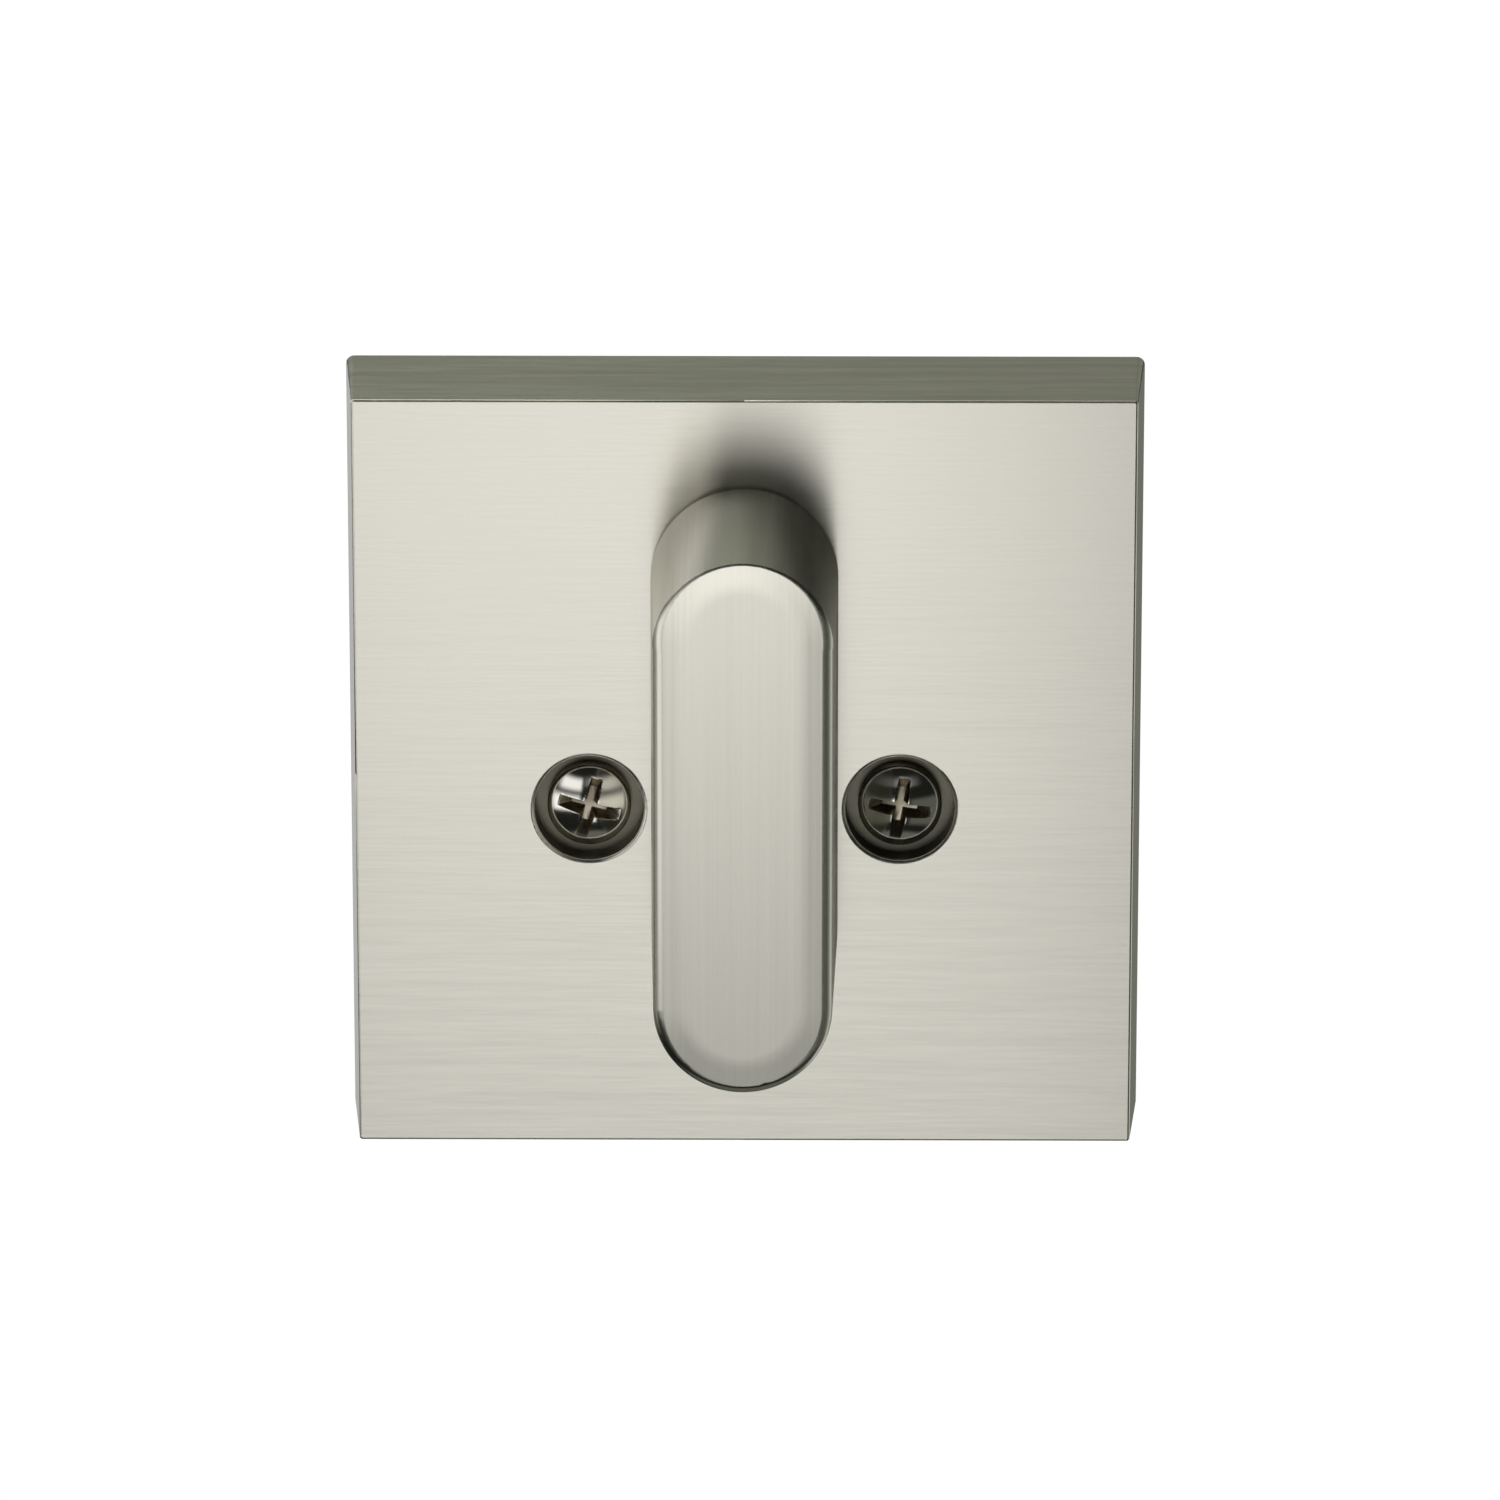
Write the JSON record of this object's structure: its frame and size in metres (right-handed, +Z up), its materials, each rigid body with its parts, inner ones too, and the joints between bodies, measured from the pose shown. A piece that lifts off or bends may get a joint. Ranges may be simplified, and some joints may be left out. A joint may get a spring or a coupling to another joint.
{
  "type": "deadbolt thumbturn trim",
  "caption": "Square flared rose plate with an upright stadium thumbturn on a spindle, sunk through-bolts and a tailpiece: inside trim that throws a door's deadbolt.",
  "frame": {"origin": "on the spindle's axis, midway between the through-bolts, in the plane of the door's face", "axes": "+X to the right seen from the room, +Y into the door along the spindle, +Z up"},
  "size_m": [0.0666, 0.0858, 0.0667],
  "materials": {
    "satin_nickel": "brushed satin nickel plate",
    "bright_nickel": "bright nickel plate",
    "plain_steel": "plain zinc-plated steel",
    "dark_steel": "oiled dark spring steel",
    "nylon": "natural nylon"
  },
  "bodies": {
    "trim": {"rose_plate": "satin_nickel", "bearing_bush": "nylon", "glide_washer": "nylon", "detent_spring": "dark_steel", "spring_screw": "plain_steel", "back_plate": "plain_steel", "back_plate_screws": "plain_steel", "stop_pins": "plain_steel", "through_bolt_left": "bright_nickel", "through_bolt_right": "bright_nickel", "bolt_keeper_left": "nylon", "bolt_keeper_right": "nylon"},
    "turn": {"thumbturn": "satin_nickel", "grub_screw": "dark_steel", "spindle": "plain_steel", "dished_washer": "dark_steel", "detent_cam": "plain_steel", "thrust_washer": "plain_steel", "retaining_ring": "dark_steel", "tailpiece": "plain_steel", "tailpiece_pin": "plain_steel"}
  },
  "joints": [
    {"name": "thumbturn_turn", "type": "hinge", "parent": "trim", "child": "turn", "pos_m": [0, 0, 0], "axis": [0, 1, 0], "range_deg": [-90, 90], "deforming": ["detent_spring"]}
  ]
}
